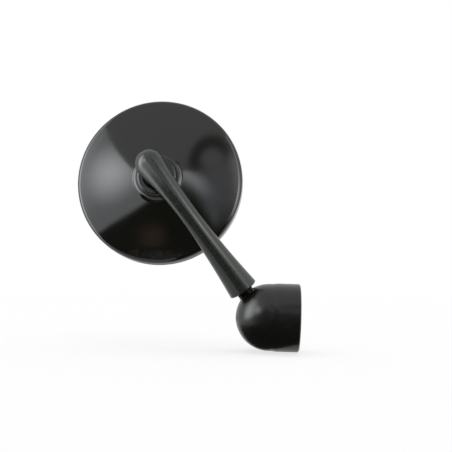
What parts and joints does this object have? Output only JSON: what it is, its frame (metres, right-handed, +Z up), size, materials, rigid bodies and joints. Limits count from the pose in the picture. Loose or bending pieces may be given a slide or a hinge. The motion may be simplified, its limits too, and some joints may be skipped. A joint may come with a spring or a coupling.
{
  "type": "motorcycle bar end mirror",
  "caption": "Round convex mirror on a curved tapering arm, carried by a domed cap that clamps over the end of a handlebar.",
  "frame": {"origin": "middle of the cap's mouth, on the axis of the handlebar", "axes": "+X along the handlebar, out of the cap's mouth; +Z up; +Y away from the rider's side that the picture shows"},
  "size_m": [0.1314, 0.0623, 0.1432],
  "materials": {
    "black_gloss": "gloss black coat on cast aluminium",
    "black_satin": "satin black coat on cast and turned aluminium",
    "black_nylon": "moulded, satin",
    "black_steel": "black oxide on steel, satin",
    "bare_steel": "bright zinc on steel",
    "black_abs": "moulded, fine grain",
    "black_foam": "closed cell foam",
    "black_rubber": "smooth, matt",
    "mirror_glass": "silvered convex glass"
  },
  "bodies": {
    "bar_end": {"bar_cap": "black_satin", "bar_sleeve": "black_nylon", "bar_screw_1": "black_steel", "bar_screw_2": "black_steel", "neck_stud": "black_steel"},
    "arm": {"arm": "black_satin", "arm_screw": "black_steel", "ball_stud": "black_steel"},
    "liner": {"ball_liner": "black_nylon"},
    "pad": {"pressure_pad": "black_nylon"},
    "mirror_head": {"mirror_shell": "black_gloss", "disc_spring": "bare_steel", "clamp_plate": "bare_steel", "clamp_screw_1": "bare_steel", "clamp_screw_2": "bare_steel", "clamp_screw_3": "bare_steel", "glass_carrier": "black_abs", "foam_pad": "black_foam", "rim_seal": "black_rubber", "mirror_glass": "mirror_glass"}
  },
  "joints": [
    {"name": "arm_swivel", "type": "hinge", "parent": "bar_end", "child": "arm", "pos_m": [-0.03036, -0.00209, 0.0132], "axis": [-0.6076, -0.1225, 0.7848], "continuous": true},
    {"name": "mirror_nod", "type": "hinge", "parent": "arm", "child": "liner", "pos_m": [-0.08339, 0.01915, 0.07741], "axis": [0.8802, 0.0138, 0.4744], "range_deg": [-20, 12]},
    {"name": "mirror_turn", "type": "hinge", "parent": "liner", "child": "pad", "pos_m": [-0.08339, 0.01915, 0.07741], "axis": [-0.4683, 0.188, 0.8634], "range_deg": [-15, 15]},
    {"name": "mirror_spin", "type": "hinge", "parent": "pad", "child": "mirror_head", "pos_m": [-0.08339, 0.01915, 0.07741], "axis": [-0.0773, -0.9821, 0.1719], "continuous": true}
  ]
}
